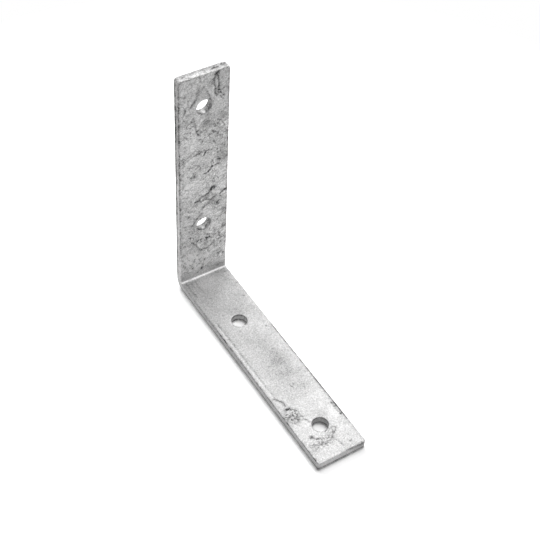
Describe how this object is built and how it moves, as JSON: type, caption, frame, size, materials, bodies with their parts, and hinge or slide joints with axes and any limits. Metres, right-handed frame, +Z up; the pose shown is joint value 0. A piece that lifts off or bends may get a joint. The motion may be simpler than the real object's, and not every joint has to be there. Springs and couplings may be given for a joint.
{
  "type": "corner brace bracket",
  "caption": "Right-angle corner brace bent from flat galvanised steel bar, with round screw holes along both legs.",
  "frame": {"origin": "under the middle of the whole bracket, on the surface that the foot leg stands on", "axes": "+X along the foot leg away from the upright, +Y across the width of the bar, +Z up along the upright leg"},
  "size_m": [0.15, 0.03, 0.15],
  "materials": {
    "galvanised_steel": "hot-dip galvanised: pale dull grey zinc with ripples, runs and fine pits"
  },
  "bodies": {
    "root": {"corner_brace": "galvanised_steel"}
  },
  "joints": []
}
